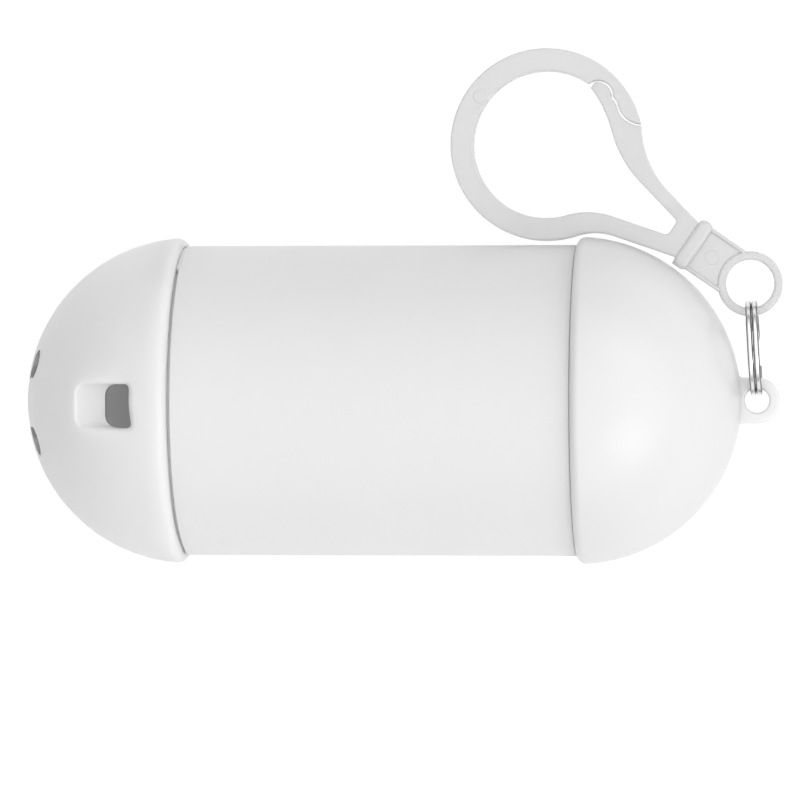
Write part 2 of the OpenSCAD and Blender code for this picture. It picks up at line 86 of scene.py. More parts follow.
def mix_colours(nodes, links, factor, first, second):
    """Mixes two colours by a factor from another node."""
    tint = nodes.new("ShaderNodeMix")
    tint.data_type = "RGBA"
    tint.inputs["A"].default_value = (*first, 1)
    tint.inputs["B"].default_value = (*second, 1)
    links.new(factor, tint.inputs["Factor"])
    return tint


def finish_skin(nodes, links, skin, gloss, height, roughness, distance):
    """Gives a surface its roughness, between two values, and its fine relief."""
    rough = range_node(nodes, *roughness)
    links.new(gloss, rough.inputs["Value"])
    links.new(rough.outputs["Result"], skin.inputs["Roughness"])
    relief = nodes.new("ShaderNodeBump")
    relief.inputs["Distance"].default_value = distance
    links.new(height, relief.inputs["Height"])
    links.new(relief.outputs["Normal"], skin.inputs["Normal"])


# ---- studio ------------------------------------------------------------------------------
# The case lies on a plain pale floor and is seen from straight above it, a little from the
# right. Three soft boxes and a pale room, darker on the left, light it.

low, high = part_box("tube")
AXIS = (low + high) / 2
LENS_HEIGHT = 0.5974
LENS_SIDE = 0.0554
AIM = AXIS + Vector((0.0019, 0.00006, 0))
FLOOR_SIZE = 1.5
FLOOR_GLOW = 0.9  # how much of the floor glows evenly where it is seen or mirrored

camera_data = bpy.data.cameras.new("camera")
camera_data.sensor_width = 36
camera_data.lens = 220.05
camera_data.clip_start = 0.01
camera_data.clip_end = 10
camera = bpy.data.objects.new("camera", camera_data)
scene.collection.objects.link(camera)
camera.location = AIM + Vector((LENS_SIDE, 0, LENS_HEIGHT))
camera.rotation_euler = (0, atan2(LENS_SIDE, LENS_HEIGHT), 0)
scene.camera = camera


def soft_box(name, offset, size, power):
    light = bpy.data.lights.new(name, "AREA")
    light.shape = "RECTANGLE"
    light.size, light.size_y = size
    light.energy = power
    lamp = bpy.data.objects.new(name, light)
    scene.collection.objects.link(lamp)
    lamp.location = AXIS + Vector(offset)
    lamp.rotation_euler = (-Vector(offset)).to_track_quat("-Z", "Y").to_euler()


soft_box("box_far", (0.40, 0.36, 0.44), (0.26, 0.26), 0.15)
soft_box("box_near", (0.44, -0.30, 0.44), (0.26, 0.30), 0.6)
soft_box("box_front", (0.10, -0.60, 0.45), (0.50, 0.40), 0.25)

world = bpy.data.worlds.new("pale_room")
scene.world = world
world.use_nodes = True
nodes, links = world.node_tree.nodes, world.node_tree.links
nodes.clear()
way = nodes.new("ShaderNodeTexCoord")
parts = nodes.new("ShaderNodeSeparateXYZ")
links.new(way.outputs["Generated"], parts.inputs["Vector"])
height = range_node(nodes, 0.47, 1.45, 0.05, 0.6)
height.interpolation_type = "SMOOTHSTEP"
links.new(parts.outputs["Z"], height.inputs["Value"])
across = range_node(nodes, 0.25, 1.0, -1.0, 0.0)
across.interpolation_type = "SMOOTHSTEP"
links.new(parts.outputs["X"], across.inputs["Value"])
both_ways = math_node(nodes, "MULTIPLY")
links.new(height.outputs["Result"], both_ways.inputs[0])
links.new(across.outputs["Result"], both_ways.inputs[1])
room = nodes.new("ShaderNodeBackground")
room.inputs["Color"].default_value = (1, 1, 1, 1)
links.new(both_ways.outputs[0], room.inputs["Strength"])
white = nodes.new("ShaderNodeBackground")
white.inputs["Color"].default_value = (1, 1, 1, 1)
white.inputs["Strength"].default_value = 1.0
ray = nodes.new("ShaderNodeLightPath")
pick = nodes.new("ShaderNodeMixShader")
links.new(ray.outputs["Is Camera Ray"], pick.inputs["Fac"])
links.new(room.outputs[0], pick.inputs[1])
links.new(white.outputs[0], pick.inputs[2])
links.new(pick.outputs[0], nodes.new("ShaderNodeOutputWorld").inputs["Surface"])

bm = bmesh.new()
bmesh.ops.create_grid(bm, x_segments=1, y_segments=1, size=FLOOR_SIZE)
floor_data = bpy.data.meshes.new("floor")
bm.to_mesh(floor_data)
bm.free()
floor = bpy.data.objects.new("floor", floor_data)
scene.collection.objects.link(floor)
paper, nodes, links, body = new_material("floor_paper")
body.inputs["Base Color"].default_value = (0.9, 0.9, 0.9, 1)
body.inputs["Roughness"].default_value = 0.9
body.inputs["Specular IOR Level"].default_value = 0.0
glow = nodes.new("ShaderNodeEmission")
glow.inputs["Strength"].default_value = 1.03
ray = nodes.new("ShaderNodeLightPath")
seen = math_node(nodes, "MAXIMUM")
links.new(ray.outputs["Is Camera Ray"], seen.inputs[0])
links.new(ray.outputs["Is Glossy Ray"], seen.inputs[1])
through = math_node(nodes, "MAXIMUM")
links.new(seen.outputs[0], through.inputs[0])
links.new(ray.outputs["Is Transmission Ray"], through.inputs[1])
share = math_node(nodes, "MULTIPLY", FLOOR_GLOW)
links.new(through.outputs[0], share.inputs[0])
pick = nodes.new("ShaderNodeMixShader")
links.new(share.outputs[0], pick.inputs["Fac"])
links.new(body.outputs[0], pick.inputs[1])
links.new(glow.outputs[0], pick.inputs[2])
links.new(pick.outputs[0], nodes["Material Output"].inputs["Surface"])
floor_data.materials.append(paper)

# ---- tube --------------------------------------------------------------------------------
# The middle of the case: a plain moulded tube of matte white plastic. Its left end is a thinner
# neck with two bayonet lugs and two low seat ribs, its right end a spigot for the loop cap.

MM = 0.001
TUBE_R = 19.0
BORE_R = 17.0
NECK_R = 18.2
NECK_LEN = 4.5
TUBE_HALF = (high.x - low.x) / 2 / MM - NECK_LEN
LEFT_END = -TUBE_HALF - 0.8
RIGHT_END = TUBE_HALF + 0.5
LUG_R = NECK_R + 0.55
LUG_INSET = 1.6
LUG_W = 1.2
LUG_ARC = 24
RIB_R = TUBE_R - 0.1
RIB_LEN = 0.35
RIB_END = 32
RIB_ARC = 40
END_ROUND = 0.22
SHOULDER_ROUND = 0.1
AROUND = 192


def all_of(bm):
    return bm.verts[:] + bm.edges[:] + bm.faces[:]


def verts_in(parts):
    return [part for part in parts if isinstance(part, bmesh.types.BMVert)]


def chain(bm, points, start=None):
    """Edges through points of a section: (along the axis, away from the axis). Gives its
    vertices."""
    verts = [start] if start else []
    verts += [bm.verts.new((x, 0, r)) for x, r in points]
    for a, b in zip(verts, verts[1:]):
        bm.edges.new((a, b))
    return verts


def sweep(bm, vert, centre, turn, steps):
    """Carries a vertex of a section round a centre, drawing an arc. Gives the arc's last vertex."""
    arc = bmesh.ops.spin(
        bm, geom=[vert], cent=(centre[0], 0, centre[1]), axis=(0, 1, 0), dvec=(0, 0, 0),
        angle=radians(turn), steps=steps, use_merge=False,
    )
    return verts_in(arc["geom_last"])[0]


def round_corners(bm, verts, radius, segments=4):
    bmesh.ops.bevel(
        bm, geom=verts, offset=radius, offset_type="OFFSET", affect="VERTICES",
        segments=segments, profile=0.5, material=-1,
    )


def brace(bm, margin=0.15, shortest=0.6):
    """Splits each long edge near both its ends, so that smooth shading stays flat between them."""
    for edge in [e for e in bm.edges if e.calc_length() > shortest]:
        vert = edge.verts[0]
        other = edge.other_vert(vert)
        share = margin / edge.calc_length()
        rest, near = bmesh.utils.edge_split(edge, vert, share)
        for half in (rest, edge):
            if other in half.verts and half.calc_length() > shortest / 2:
                bmesh.utils.edge_split(half, other, margin / half.calc_length())
                break


def turn_section(bm, steps=AROUND, start=0.0, turn=360.0):
    """Turns the drawn section about the axis of the case and closes the solid."""
    whole = turn >= 360
    if start:
        bmesh.ops.rotate(
            bm, verts=bm.verts, cent=(0, 0, 0), matrix=Matrix.Rotation(radians(start), 3, "X")
        )
    bmesh.ops.spin(
        bm, geom=all_of(bm), cent=(0, 0, 0), axis=(1, 0, 0),
        dvec=(0, 0, 0), angle=radians(turn), steps=steps, use_merge=whole,
    )
    bmesh.ops.remove_doubles(bm, verts=bm.verts, dist=1e-4)
    bmesh.ops.recalc_face_normals(bm, faces=bm.faces)


def block_on_neck(inner, outer, left, right, middle, arc, rounding=0.1):
    """A low block that follows the neck part of the way round."""
    bm = bmesh.new()
    corners = chain(bm, [(left, inner), (right, inner), (right, outer), (left, outer)])
    bm.faces.new(corners)
    turn_section(bm, 24, middle - arc / 2, arc)
    if rounding:
        bmesh.ops.bevel(
            bm, geom=[e for e in bm.edges if len(e.link_faces) == 2 and e.calc_face_angle(0) > 1],
            offset=rounding, affect="EDGES", segments=2, profile=0.5, material=-1,
        )
    return bm


def carve(bm, other, operation="DIFFERENCE"):
    """Cuts a closed solid with another one, or joins the two. Gives the new mesh."""
    holders = []
    for part in (bm, other):
        if part.calc_volume(signed=True) < 0:
            bmesh.ops.reverse_faces(part, faces=part.faces)
        mesh = bpy.data.meshes.new("carving")
        part.to_mesh(mesh)
        part.free()
        holder = bpy.data.objects.new("carving", mesh)
        scene.collection.objects.link(holder)
        holders.append(holder)
    cut = holders[0].modifiers.new("cut", "BOOLEAN")
    cut.operation = operation
    cut.solver = "EXACT"
    cut.object = holders[1]
    now = bpy.context.evaluated_depsgraph_get()
    mesh = bpy.data.meshes.new_from_object(holders[0].evaluated_get(now))
    for holder in holders:
        bpy.data.objects.remove(holder)
    carved = bmesh.new()
    carved.from_mesh(mesh)
    bpy.data.meshes.remove(mesh)
    bmesh.ops.remove_doubles(carved, verts=carved.verts, dist=2e-4)
    return carved


def settle(name, bm, material, place=None, sharp=38, crisp_flats=False):
    """Brings a piece drawn in millimetres round the middle of the case into place."""
    bm.transform(place or Matrix.Translation(AXIS) @ Matrix.Scale(MM, 4))
    bm.normal_update()
    for face in bm.faces:
        face.smooth = True
    for edge in bm.edges:
        if len(edge.link_faces) == 2 and edge.calc_face_angle(0) > radians(sharp):
            edge.smooth = False
        if crisp_flats and len({abs(face.normal.z) > 0.9999 for face in edge.link_faces}) == 2:
            edge.smooth = False
    mesh = bpy.data.meshes.new(name)
    bm.to_mesh(mesh)
    bm.free()
    mesh.materials.append(material)
    piece = bpy.data.objects.new(name, mesh)
    scene.collection.objects.link(piece)
    return piece


def moulded_grain():
    """Fine spark-eroded grain and slow unevenness of a moulded skin, shared by all the plastics."""
    group = bpy.data.node_groups.new("moulded_grain", "ShaderNodeTree")
    for name in ("Grain scale", "Grain depth", "Unevenness"):
        group.interface.new_socket(name=name, in_out="INPUT", socket_type="NodeSocketFloat")
    for name in ("Height", "Tone"):
        group.interface.new_socket(name=name, in_out="OUTPUT", socket_type="NodeSocketFloat")
    nodes, links = group.nodes, group.links
    inputs = nodes.new("NodeGroupInput")
    outputs = nodes.new("NodeGroupOutput")
    place = nodes.new("ShaderNodeTexCoord")
    fine = nodes.new("ShaderNodeTexNoise")
    fine.inputs["Detail"].default_value = 3
    links.new(place.outputs["Object"], fine.inputs["Vector"])
    links.new(inputs.outputs["Grain scale"], fine.inputs["Scale"])
    slow = nodes.new("ShaderNodeTexNoise")
    slow.inputs["Scale"].default_value = 90
    slow.inputs["Detail"].default_value = 2
    links.new(place.outputs["Object"], slow.inputs["Vector"])
    deep = math_node(nodes, "MULTIPLY")
    links.new(fine.outputs["Fac"], deep.inputs[0])
    links.new(inputs.outputs["Grain depth"], deep.inputs[1])
    wide = math_node(nodes, "MULTIPLY_ADD")
    links.new(slow.outputs["Fac"], wide.inputs[0])
    links.new(inputs.outputs["Unevenness"], wide.inputs[1])
    links.new(deep.outputs[0], wide.inputs[2])
    links.new(wide.outputs[0], outputs.inputs["Height"])
    links.new(slow.outputs["Fac"], outputs.inputs["Tone"])
    return group


MOULDED_GRAIN = moulded_grain()
GRAIN_RELIEF = 0.02 * MM


def plastic(name, light, dark, roughness, grain, depth, unevenness, milk=(0, 0.001)):
    """A moulded plastic: its grey drifts between a light and a dark one, and its skin has a fine
    grain. Milk is how much light goes into the wall, and how far."""
    material, nodes, links, skin = new_material(name)
    skin.inputs["IOR"].default_value = 1.46
    skin.inputs["Subsurface Weight"].default_value = milk[0]
    skin.inputs["Subsurface Radius"].default_value = (1, 1, 1)
    skin.inputs["Subsurface Scale"].default_value = milk[1]
    look = nodes.new("ShaderNodeGroup")
    look.node_tree = MOULDED_GRAIN
    look.inputs["Grain scale"].default_value = grain
    look.inputs["Grain depth"].default_value = depth
    look.inputs["Unevenness"].default_value = unevenness
    tint = mix_colours(nodes, links, look.outputs["Tone"], [dark] * 3, [light] * 3)
    links.new(tint.outputs["Result"], skin.inputs["Base Color"])
    finish_skin(
        nodes, links, skin, look.outputs["Tone"], look.outputs["Height"],
        (roughness - 0.04, roughness + 0.04), GRAIN_RELIEF,
    )
    return material


MATTE_WHITE = plastic("matte_white", 0.85, 0.83, 0.5, 3200, 0.6, 0.5, (0.55, 0.014))

bm = bmesh.new()
section = chain(bm, [
    (-TUBE_HALF - NECK_LEN, BORE_R), (-TUBE_HALF - NECK_LEN, NECK_R), (LEFT_END, NECK_R),
    (LEFT_END, TUBE_R), (RIGHT_END, TUBE_R), (RIGHT_END, NECK_R),
    (TUBE_HALF + NECK_LEN, NECK_R), (TUBE_HALF + NECK_LEN, BORE_R),
])
bm.edges.new((section[-1], section[0]))
round_corners(bm, [section[i] for i in (0, 1, 6, 7)], END_ROUND)
round_corners(bm, [v for v in bm.verts if v.co.z > TUBE_R - 1e-4], SHOULDER_ROUND)
brace(bm)
turn_section(bm)
for side in (-90, 90):
    lug_end = LEFT_END - LUG_INSET
    lug = block_on_neck(NECK_R - 0.1, LUG_R, lug_end - LUG_W, lug_end, side, LUG_ARC, 0.15)
    bm = carve(bm, lug, "UNION")
    rib_middle = side + RIB_END - RIB_ARC / 2
    rib = block_on_neck(
        NECK_R - 0.1, RIB_R, LEFT_END - RIB_LEN, LEFT_END + 0.1, rib_middle, RIB_ARC
    )
    bm = carve(bm, rib, "UNION")
tube = settle("tube_shell", bm, MATTE_WHITE)
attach(tube, "shell")
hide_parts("tube")

# ---- loop cap ----------------------------------------------------------------------------
# The right end of the case: a domed cap of the same white plastic with a glossier skin, pressed
# over the spigot. Its rim is rounded, and a flat eyelet with a round hole is moulded on its pole.

CAP_R = 20.0
DOME_R = 18.4
LIP_ROUND = 1.1
SOCKET_R = NECK_R + 0.08
NECK_ROOM = 0.6
LOOP_RIM = RIGHT_END + 0.05
LOOP_CENTRE = TUBE_HALF + 0.45
EYELET_HOLE_R = 1.5
EYELET_R = 2.8
EYELET_T = 2.0
EYELET_FILLET = 0.5
EYELET_SINK = 0.9
EYELET_X = LOOP_CENTRE + CAP_R + 1.95


def cap_shell(centre, socket_len):
    """A domed cap with its rim across the middle and its pole on the left."""
    lip_reach = LIP_ROUND + centre
    lip_r = sqrt((CAP_R - LIP_ROUND) ** 2 - lip_reach ** 2)
    lip_turn = 90 - degrees(atan2(lip_reach, lip_r))
    bm = bmesh.new()
    pole = chain(bm, [(centre - CAP_R, 0)])[0]
    lip = sweep(bm, pole, (centre, 0), lip_turn, 44)
    edge = sweep(bm, lip, (-LIP_ROUND, lip_r), 180 - lip_turn, 10)
    ledge_r = sqrt(DOME_R ** 2 - (socket_len + centre) ** 2)
    socket = chain(bm, [(0, SOCKET_R), (-socket_len, SOCKET_R), (-socket_len, ledge_r)], edge)
    round_corners(bm, [socket[1]], 0.15)
    brace(bm, 0.15, 2)
    inside = degrees(atan2(ledge_r, socket_len + centre))
    sweep(bm, socket[3], (centre, 0), -inside, 36).co = (centre - DOME_R, 0, 0)
    turn_section(bm)
    return bm


def plate(loops, thickness, rounding, resolution=2):
    """A flat moulding with round edges from closed outlines. Gives its mesh."""
    outline = bpy.data.curves.new("outline", "CURVE")
    outline.dimensions = "2D"
    outline.fill_mode = "BOTH"
    outline.extrude = thickness / 2 - rounding
    outline.bevel_depth = rounding
    outline.bevel_resolution = resolution
    outline.offset = -rounding
    for loop in loops:
        spline = outline.splines.new("POLY")
        spline.points.add(len(loop) - 1)
        spline.use_cyclic_u = True
        for point, place in zip(spline.points, loop):
            point.co = (place[0], place[1], 0, 1)
    holder = bpy.data.objects.new("outline", outline)
    flat = bpy.data.meshes.new_from_object(holder)
    bpy.data.objects.remove(holder)
    bm = bmesh.new()
    bm.from_mesh(flat)
    bmesh.ops.remove_doubles(bm, verts=bm.verts, dist=1e-4)
    bmesh.ops.recalc_face_normals(bm, faces=bm.faces)
    return bm


def outline_of(bm):
    """The closed loops round a flat group of faces, as lists of points. Each of them goes
    anticlockwise and starts at its leftmost point, so that every run gives the same lists."""
    open_edges = [edge for edge in bm.edges if edge.is_boundary]
    loops = []
    while open_edges:
        edge = open_edges.pop()
        first, vert = edge.verts
        loop = [first.co.copy()]
        while vert != first:
            loop.append(vert.co.copy())
            edge = next(e for e in vert.link_edges if e in open_edges)
            open_edges.remove(edge)
            vert = edge.other_vert(vert)
        area = sum(a.x * b.y - b.x * a.y for a, b in zip(loop, loop[1:] + loop[:1]))
        if area < 0:
            loop.reverse()
        start = min(range(len(loop)), key=lambda number: loop[number].to_tuple())
        loops.append(loop[start:] + loop[:start])
    return loops


def round_loop(centre, radius, steps=64):
    bm = bmesh.new()
    bmesh.ops.create_circle(
        bm, cap_ends=True, segments=steps, radius=radius, matrix=Matrix.Translation((*centre, 0))
    )
    loop = outline_of(bm)[0]
    bm.free()
    return loop


GLOSS_WHITE = plastic("gloss_white", 0.68, 0.66, 0.3, 2600, 0.25, 0.6, (0.3, 0.003))

bm = cap_shell(LOOP_RIM - LOOP_CENTRE, TUBE_HALF + NECK_LEN + NECK_ROOM - LOOP_RIM)
bmesh.ops.rotate(bm, verts=bm.verts, cent=(0, 0, 0), matrix=Matrix.Rotation(pi, 3, "Z"))
bmesh.ops.translate(bm, verts=bm.verts, vec=(LOOP_RIM, 0, 0))
tab = bmesh.new()
dome_x = LOOP_CENTRE + sqrt(CAP_R ** 2 - (EYELET_R + EYELET_FILLET) ** 2)
corner = tab.verts.new((dome_x - EYELET_SINK, -EYELET_R - 3, 0))
foot = tab.verts.new((dome_x, -EYELET_R - 3, 0))
cove = tab.verts.new((dome_x, -EYELET_R, 0))
side = tab.verts.new((EYELET_X, -EYELET_R, 0))
for a, b in ((corner, foot), (foot, cove), (cove, side)):
    tab.edges.new((a, b))
far = bmesh.ops.spin(
    tab, geom=[side], cent=(EYELET_X, 0, 0), axis=(0, 0, 1), dvec=(0, 0, 0), angle=pi, steps=40,
)["geom_last"]
end = verts_in(far)[0]
cove_far = tab.verts.new((dome_x, EYELET_R, 0))
foot_far = tab.verts.new((dome_x, EYELET_R + 3, 0))
corner_far = tab.verts.new((dome_x - EYELET_SINK, EYELET_R + 3, 0))
for a, b in ((end, cove_far), (cove_far, foot_far), (foot_far, corner_far), (corner_far, corner)):
    tab.edges.new((a, b))
round_corners(tab, [cove, cove_far], EYELET_FILLET, 6)
bmesh.ops.triangle_fill(tab, edges=tab.edges[:], use_beauty=True)
tab_half = EYELET_R + EYELET_FILLET
bmesh.ops.bisect_plane(
    tab, geom=all_of(tab), plane_co=(0, tab_half, 0), plane_no=(0, 1, 0), clear_outer=True,
)
bmesh.ops.bisect_plane(
    tab, geom=all_of(tab), plane_co=(0, -tab_half, 0), plane_no=(0, -1, 0), clear_outer=True,
)
rim_of_tab = outline_of(tab)
tab.free()
eyelet_loops = rim_of_tab + [round_loop((EYELET_X, 0), EYELET_HOLE_R)]
bm = carve(bm, plate(eyelet_loops, EYELET_T, 0.3, 3), "UNION")
loop_cap = settle("loop_cap_shell", bm, GLOSS_WHITE, crisp_flats=True)
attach(loop_cap, "shell")
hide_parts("loop_cap")

# ---- slot cap ----------------------------------------------------------------------------
# The left end of the case: a domed cap of matte plastic that twists off. Its wall holds the two
# bayonet tracks, its pole the five-lobed mouth for the bags, and its face a scooped tear slot
# that is pulled straight out of the mould. The walls of the mouth get a darker grey: painted
# shade, for the shade that falls inside the slots.

RIM_GAP = 0.4
SLOT_RIM = LEFT_END - RIM_GAP
SLOT_CENTRE = -TUBE_HALF - 0.8
TRACK_FIT = 0.1
LOCK_TURN = 30
SCOOP_START = 8.0
SLOT_START = 11.8
SLOT_END = 15.3
SCOOP_HALF = 2.65
SLOT_ROUND = 1.5
EDGE_BULGE = 0.35
EDGE_SKEW = 0.06
FLOOR_Z = sqrt(CAP_R ** 2 - (CAP_R - SCOOP_START) ** 2)
POCKET_WALL = 1.2
CAP_TURN = 2.2
MOUTH_LOBES = 5
MOUTH_REACH = 8.0
MOUTH_LOBE_R = 1.75
MOUTH_SLIT = 0.8
MOUTH_DEPTH_Z = 12.0


def dome_z(vert):
    """Height of the dome over a point of its front, seen from the middle of the dome."""
    return sqrt(max(0, CAP_R ** 2 - vert.co.x ** 2 - vert.co.y ** 2))


# The round rim of a cut, in steps: how far in, and how far down, as shares of its radius.
SOFT_RIM = (
    (0, -0.02), (0.15, 0), (0.31, 0.049), (0.278, 0.191), (0.221, 0.412), (0.142, 0.691), (0.049, 1)
)
RIM_GROW = 1.15
# Lines over the floor of the scoop, along and across: first place, last place, how many.
SCOOP_GRID = ((-12.8, -4.3, 44), (-2.7, 2.7, 14))


def soft_cutter(bm, rim_r, floor_z, floor_r, grid=()):
    """A cutter for the dome from the outline of its rim: the rim is rounded over, the walls are
    steep, and the floor runs out softly where it meets the skin of the dome."""
    face = bm.faces[0]

    def depth(vert):
        above = dome_z(vert) - floor_z - 0.01
        return 0.5 * (above + sqrt(above ** 2 + 0.25)) - 0.03

    walls = [(0.06, 1.0), (0.134 * floor_r, 0.5), (0.366 * floor_r, 0.134), (0.5 * floor_r, 0.0)]
    for number, (inset, drop) in enumerate(SOFT_RIM):
        if number:
            bmesh.ops.inset_individual(
                bm, faces=[face], thickness=inset * rim_r, use_even_offset=True
            )
        for vert in face.verts:
            reach = min(rim_r, 0.6 * max(0, depth(vert)))
            vert.co.z = dome_z(vert) - drop * reach + 0.01 * (number > 0)
    for inset, share in walls:
        bmesh.ops.inset_individual(bm, faces=[face], thickness=inset, use_even_offset=True)
        for vert in face.verts:
            fall = depth(vert)
            vert.co.z = dome_z(vert) - fall + share * min(floor_r, 0.35 * max(0, fall))
    floor_parts = [face] + list(face.edges) + list(face.verts)
    for axis, (start, end, count) in enumerate(grid):
        for line in range(count):
            place = start + (end - start) * line / count
            floor_parts = bmesh.ops.bisect_plane(
                bm, geom=floor_parts, plane_co=[place if i == axis else 0 for i in range(3)],
                plane_no=[float(i == axis) for i in range(3)],
            )["geom"]
    floor_faces = [part for part in floor_parts if isinstance(part, bmesh.types.BMFace)]
    for vert in {v for floor_face in floor_faces for v in floor_face.verts}:
        vert.co.z = dome_z(vert) - depth(vert)
    sides = bmesh.ops.extrude_edge_only(bm, edges=[e for e in bm.edges if e.is_boundary])["geom"]
    lifted = set(verts_in(sides))
    for vert in lifted:
        vert.co.z = CAP_R + 4
    bmesh.ops.contextual_create(bm, geom=[e for e in bm.edges if set(e.verts) <= lifted])
    bmesh.ops.triangulate(bm, faces=[f for f in bm.faces if len(f.verts) > 4])
    bmesh.ops.recalc_face_normals(bm, faces=bm.faces)
    return bm


def flat_arc(bm, vert, centre, turn, steps):
    """Carries a vertex round a centre in the flat. Gives the arc's last vertex."""
    arc = bmesh.ops.spin(
        bm, geom=[vert], cent=(*centre, 0), axis=(0, 0, 1), dvec=(0, 0, 0),
        angle=radians(turn), steps=steps, use_merge=False,
    )
    return verts_in(arc["geom_last"])[0]


def split_long(bm, longest):
    """Cuts long edges of an outline into even steps, so that it can follow the dome."""
    for edge in [e for e in bm.edges if e.calc_length() > longest]:
        cuts = int(edge.calc_length() / longest)
        bmesh.ops.subdivide_edges(bm, edges=[edge], cuts=cuts)


def scoop_cutter(rim_r=0.8, far_start=7.35, far_round=2.1, near_round=1.9):
    """The cutter of the tear slot and its scoop. The edge at the slot bulges a little outwards."""
    grow = RIM_GROW * rim_r
    half = SCOOP_HALF + grow
    near_x = -CAP_R + SLOT_END + grow + 0.2
    bm = bmesh.new()
    near = [bm.verts.new((near_x, y, 0)) for y in (-half, half)]
    far = [bm.verts.new((-CAP_R + far_start, y, 0)) for y in (half, -half)]
    for a, b in zip(near + far, near[1:] + far + near[:1]):
        bm.edges.new((a, b))
    round_corners(bm, far, far_round, 14)
    round_corners(bm, [v for v in bm.verts if v.co.x > near_x - 1e-4], near_round, 12)
    split_long(bm, 0.25)
    for vert in bm.verts:
        if vert.co.x > near_x - near_round - 0.01:
            share = min(1, (vert.co.x - near_x + near_round) / near_round)
            bulge = 1.4 * EDGE_BULGE * (1 - (vert.co.y / half) ** 2)
            vert.co.x -= bulge + EDGE_SKEW * vert.co.y * share
    bmesh.ops.contextual_create(bm, geom=bm.edges[:])
    return soft_cutter(bm, rim_r, FLOOR_Z, 0.3, SCOOP_GRID)


def mouth_cutter(rim_r=0.15, corner=0.35):
    """The cutter of the mouth: one slit with a round lobe at its end, repeated round the pole."""
    grow = RIM_GROW * rim_r
    slit, lobe_r = MOUTH_SLIT + grow, MOUTH_LOBE_R + grow
    share = 360 / MOUTH_LOBES
    bm = bmesh.new()
    root_x = slit / tan(radians(share / 2))
    lobe_x = MOUTH_REACH - sqrt(lobe_r ** 2 - slit ** 2)
    root = bm.verts.new((root_x, -slit, 0))
    lobe = bm.verts.new((lobe_x, -slit, 0))
    lobe_arc = 360 - 2 * degrees(asin(slit / lobe_r))
    lobe_end = flat_arc(bm, lobe, (MOUTH_REACH, 0), lobe_arc, 40)
    root_end = bm.verts.new((root_x, slit, 0))
    bm.edges.new((root, lobe))
    bm.edges.new((lobe_end, root_end))
    bm.transform(Matrix.Rotation(radians(share / 2), 4, "Z"))
    bmesh.ops.spin(
        bm, geom=bm.verts[:] + bm.edges[:], cent=(0, 0, 0), axis=(0, 0, 1), dvec=(0, 0, 0),
        angle=radians(360 - share), steps=MOUTH_LOBES - 1, use_duplicate=True,
    )
    bmesh.ops.remove_doubles(bm, verts=bm.verts, dist=1e-3)
    ends = [v for v in bm.verts if max(e.calc_length() for e in v.link_edges) > 1]
    round_corners(bm, ends, corner, 5)
    bmesh.ops.remove_doubles(bm, verts=bm.verts, dist=1e-3)
    split_long(bm, 0.4)
    bmesh.ops.contextual_create(bm, geom=bm.edges[:])
    soft_cutter(bm, rim_r, MOUTH_DEPTH_Z, 0.1)
    bm.transform(Matrix.Rotation(radians(-90), 4, "Y"))
    return bm


def pocket_floor():
    """The floor that the mould leaves under the scoop, up to the round corners of the opening."""
    bm = bmesh.new()
    start, side = -CAP_R + SLOT_START, SCOOP_HALF + POCKET_WALL
    outline = [
        (-14, -side), (start + SLOT_ROUND, -side), (start + SLOT_ROUND, -SCOOP_HALF),
        (start, -SCOOP_HALF), (start, SCOOP_HALF), (start + SLOT_ROUND, SCOOP_HALF),
        (start + SLOT_ROUND, side), (-14, side),
    ]
    verts = [bm.verts.new((x, y, FLOOR_Z - POCKET_WALL)) for x, y in outline]
    for a, b in zip(verts, verts[1:] + verts[:1]):
        bm.edges.new((a, b))
    round_corners(bm, [verts[3], verts[4]], SLOT_ROUND - 0.01, 10)
    base = bmesh.ops.contextual_create(bm, geom=bm.edges[:])["faces"]
    top = bmesh.ops.extrude_face_region(bm, geom=base)["geom"]
    bmesh.ops.translate(bm, verts=verts_in(top), vec=(0, 0, 3))
    bmesh.ops.recalc_face_normals(bm, faces=bm.faces)
    ball = bmesh.new()
    bmesh.ops.create_uvsphere(ball, u_segments=96, v_segments=48, radius=CAP_R - 0.8)
    return carve(bm, ball, "INTERSECT")


def on_dome(bm):
    """Turns a shape made over the middle of the dome to its place on the cap."""
    turn = Matrix.Rotation(radians(CAP_TURN), 4, "X")
    bm.transform(Matrix.Translation((SLOT_CENTRE - SLOT_RIM, 0, 0)) @ turn)
    return bm


shell = cap_shell(SLOT_CENTRE - SLOT_RIM, SLOT_RIM + TUBE_HALF + NECK_LEN + NECK_ROOM)
bm = carve(shell, on_dome(pocket_floor()), "UNION")
bm = carve(bm, on_dome(scoop_cutter()))
bm = carve(bm, on_dome(mouth_cutter()))
for side in (-90, 90):
    track_start = -LUG_INSET + RIM_GAP + TRACK_FIT
    track = block_on_neck(
        NECK_R - 0.01, LUG_R + TRACK_FIT, track_start - LUG_W - 2 * TRACK_FIT, track_start,
        side + LOCK_TURN / 2, LUG_ARC + LOCK_TURN + 0.2, 0,
    )
    bm = carve(bm, track)
    entry = block_on_neck(
        NECK_R - 0.02, LUG_R + 2 * TRACK_FIT, -LUG_INSET, 1, side, LUG_ARC + 2, 0
    )
    bm = carve(bm, entry)
bmesh.ops.translate(bm, verts=bm.verts, vec=(SLOT_RIM, 0, 0))
CAP_WHITE = plastic("cap_white", 0.95, 0.93, 0.42, 3200, 0.5, 0.5, (0.55, 0.014))
# A darker grey for the walls of the mouth: painted shade, not a different plastic.
MOUTH_PAINTED_SHADE = plastic("mouth_painted_shade", 0.42, 0.36, 0.55, 3200, 0.5, 0.5)
slot_cap = settle("slot_cap_shell", bm, CAP_WHITE)
slot_cap.data.materials.append(MOUTH_PAINTED_SHADE)
middle = AXIS + Vector((SLOT_CENTRE, 0, 0)) * MM
mouth_edge = (MOUTH_REACH + MOUTH_LOBE_R + 0.6) * MM
